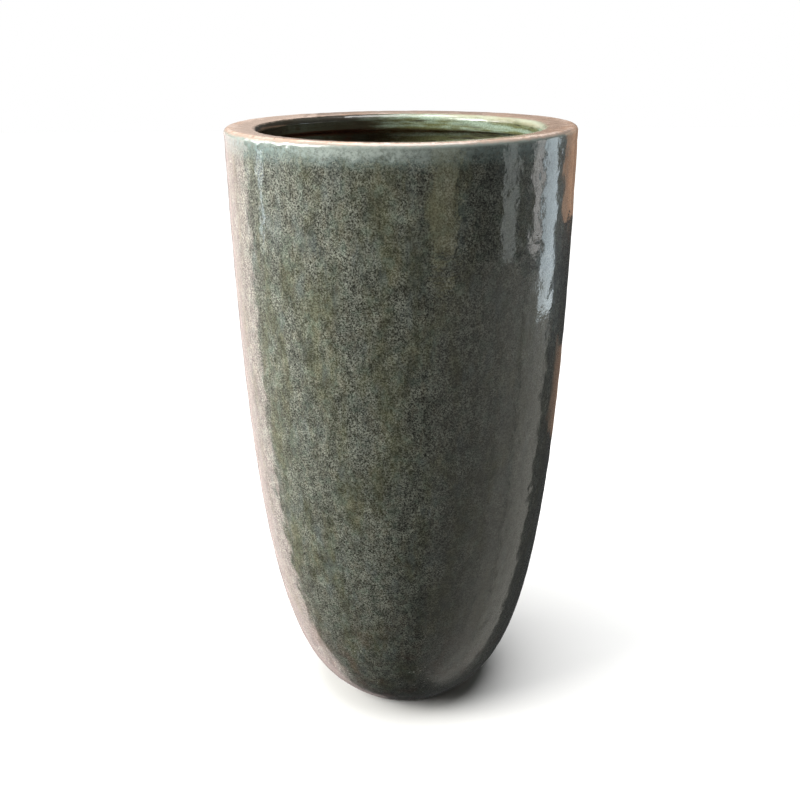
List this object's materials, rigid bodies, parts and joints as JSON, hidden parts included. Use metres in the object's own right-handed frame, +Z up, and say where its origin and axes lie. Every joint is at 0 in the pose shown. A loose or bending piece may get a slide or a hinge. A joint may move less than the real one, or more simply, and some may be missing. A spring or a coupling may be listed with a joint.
{
  "type": "tall glazed planter",
  "caption": "Tall bullet-shaped glazed clay garden planter with a thick rolled rim, a narrow flat foot and a drain hole.",
  "frame": {"origin": "centre of the flat foot, on the floor", "axes": "+Z up along the pot's own axis; the pot is round, so X and Y are any two level directions at a right angle"},
  "size_m": [0.432, 0.432, 0.8],
  "materials": {
    "clay": "bare fired clay, matte and slightly sandy",
    "dark_glaze": "glossy speckled grey-green to brown-black glaze",
    "rim_glaze": "thin pinkish tan glaze, glossy, where it broke over the rim",
    "inner_glaze": "glossy olive glaze running to dark brown"
  },
  "bodies": {
    "root": {"base_slab": "clay", "wall": "clay", "rim_ring": "clay", "outer_glaze": "dark_glaze", "rim_glaze": "rim_glaze", "inner_glaze": "inner_glaze"}
  },
  "joints": []
}
